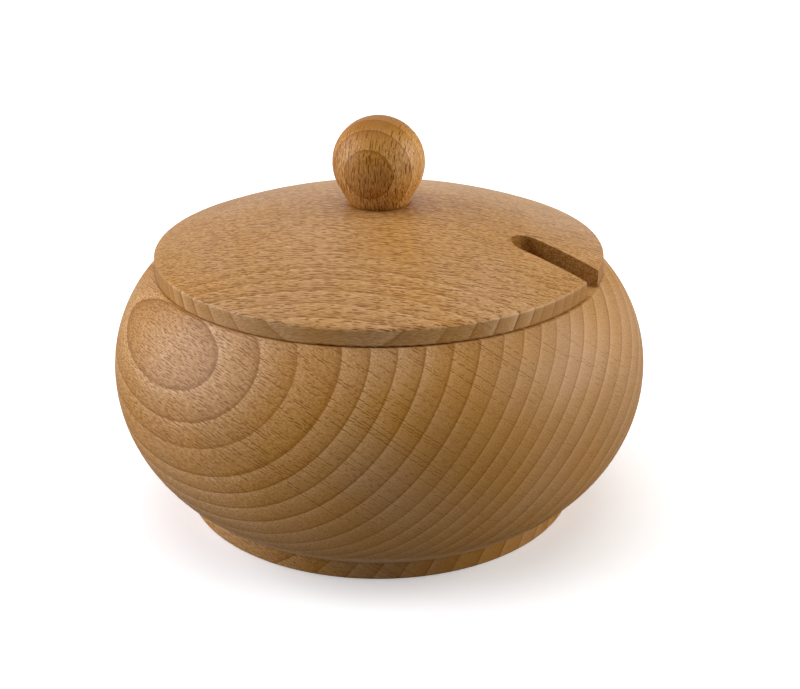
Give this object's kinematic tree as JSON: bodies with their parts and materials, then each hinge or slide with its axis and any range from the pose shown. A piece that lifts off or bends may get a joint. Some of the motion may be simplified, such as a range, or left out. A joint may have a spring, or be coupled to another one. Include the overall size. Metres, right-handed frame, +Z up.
{
  "type": "sugar bowl",
  "caption": "Round turned wooden sugar bowl with a bulbous belly on a low foot, and a domed lift-off lid with a spoon slot at its rim and a ball knob.",
  "frame": {"origin": "centre of the foot's underside, on the turning axis, at table level", "axes": "+Z up along the turning axis, +X along the spoon slot from the lid's centre to its rim"},
  "size_m": [0.1204, 0.1204, 0.0879],
  "materials": {
    "bowl_wood": "satin",
    "lid_wood": "satin",
    "knob_wood": "satin",
    "dowel_wood": "matte"
  },
  "bodies": {
    "bowl": {"bowl": "bowl_wood"},
    "lid": {"lid": "lid_wood", "knob": "knob_wood", "dowel": "dowel_wood"}
  },
  "joints": [
    {"name": "lid_lift", "type": "slide", "parent": "bowl", "child": "lid", "axis": [0, 0, 1], "range_m": [0, 0.06]}
  ]
}
